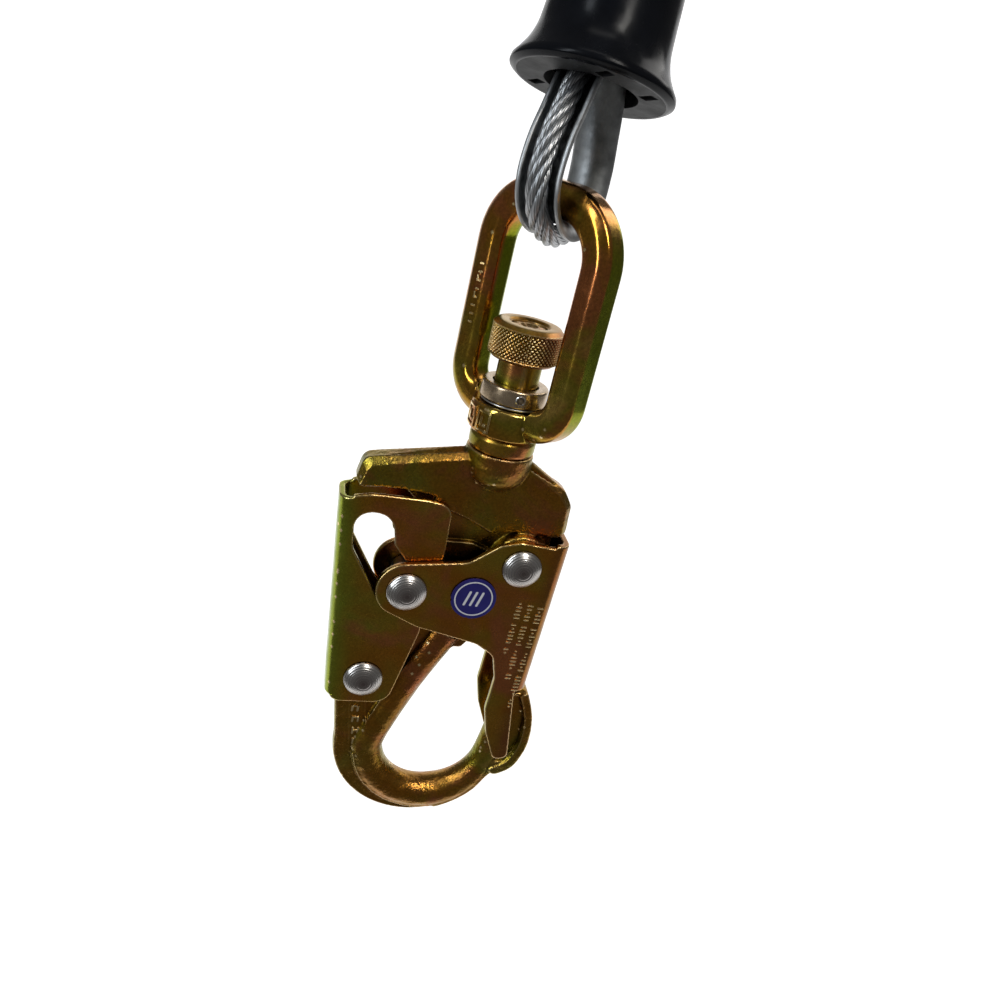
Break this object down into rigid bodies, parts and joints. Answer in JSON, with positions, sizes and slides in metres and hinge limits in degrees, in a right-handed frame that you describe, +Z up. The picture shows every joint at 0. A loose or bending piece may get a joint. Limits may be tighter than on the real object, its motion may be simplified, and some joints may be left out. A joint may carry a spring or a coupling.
{
  "type": "self retracting lifeline hook end",
  "caption": "Cable end of a self retracting lifeline: swaged cable eye under a flared bumper, swivel eye with load indicator, and a self-locking forged snap hook.",
  "frame": {"origin": "centre of the outlet plate's flat top face, where the cable end is fastened", "axes": "+Z up, out of the outlet plate; the hook hangs along -Z with its plates facing -Y and +Y and its gate towards +X"},
  "size_m": [0.0812, 0.0775, 0.3685],
  "materials": {
    "zinc_yellow": "yellow chromate zinc plating over forged steel, iridescent",
    "outlet_steel": "plain zinc-plated steel",
    "stainless": "stainless steel, turned and riveted",
    "galvanised": "galvanised steel wire and pressed steel",
    "ferrule_alloy": "pressed aluminium",
    "bumper_black": "glossy moulded black elastomer",
    "buffer_rubber": "matt rubber",
    "nylon_dark": "moulded dark nylon",
    "indicator_red": "red paint",
    "label_blue": "printed vinyl"
  },
  "bodies": {
    "cable_end": {"outlet_plate": "outlet_steel", "outlet_buffer": "buffer_rubber", "outlet_nozzle": "nylon_dark", "outlet_screw_1": "stainless", "outlet_screw_2": "stainless", "outlet_screw_3": "stainless", "outlet_screw_4": "stainless", "cable_free": "galvanised", "cable_eye": "galvanised", "thimble": "galvanised", "swage_ferrule": "ferrule_alloy"},
    "bumper": {"bumper_shell": "bumper_black", "bumper_insert": "nylon_dark"},
    "eye": {"swivel_eye": "zinc_yellow"},
    "collar": {"indicator_collar": "zinc_yellow", "indicator_pin_front": "stainless", "indicator_pin_rear": "stainless", "thrust_washer": "stainless"},
    "hook": {"hook_body": "zinc_yellow", "swivel_stud": "zinc_yellow", "indicator_knob": "zinc_yellow", "indicator_band": "indicator_red", "neck_ring": "zinc_yellow", "shear_pin_core": "stainless", "gate_rivet": "stainless", "gate_bush": "stainless", "gate_spring": "stainless", "lever_rivet": "stainless", "lever_bush": "stainless", "lever_spring": "stainless"},
    "lever": {"lock_lever": "zinc_yellow"},
    "gate": {"gate_shell": "zinc_yellow", "lock_rivet": "stainless", "lock_sleeve": "stainless", "inspection_label": "label_blue"}
  },
  "joints": [
    {"name": "bumper_slide", "type": "slide", "parent": "cable_end", "child": "bumper", "axis": [0.1036, 0.2067, 0.9729], "range_m": [0, 0.025]},
    {"name": "eye_swing", "type": "hinge", "parent": "cable_end", "child": "eye", "pos_m": [-0.01639, -0.03271, -0.18612], "axis": [0.7373, -0.6756, 0], "range_deg": [-70, 70]},
    {"name": "swivel", "type": "hinge", "parent": "eye", "child": "collar", "pos_m": [-0.01639, -0.03271, -0.24822], "axis": [0, 0, 1], "continuous": true},
    {"name": "indicator_slide", "type": "slide", "parent": "collar", "child": "hook", "axis": [0, 0, -1], "range_m": [0, 0.0055]},
    {"name": "lever_squeeze", "type": "hinge", "parent": "hook", "child": "lever", "pos_m": [-0.04019, -0.03271, -0.32022], "axis": [0, 1, 0], "range_deg": [0, 13], "stiffness_Nm_per_rad": 0.1, "springref_deg": -34.38},
    {"name": "gate_open", "type": "hinge", "parent": "hook", "child": "gate", "pos_m": [-0.00529, -0.03271, -0.28052], "axis": [0, 1, 0], "range_deg": [0, 25], "stiffness_Nm_per_rad": 0.05, "springref_deg": -34.38}
  ],
  "couplings": [
    {"joint": "gate_open", "follows": "lever_squeeze", "ratio": 1.92}
  ]
}
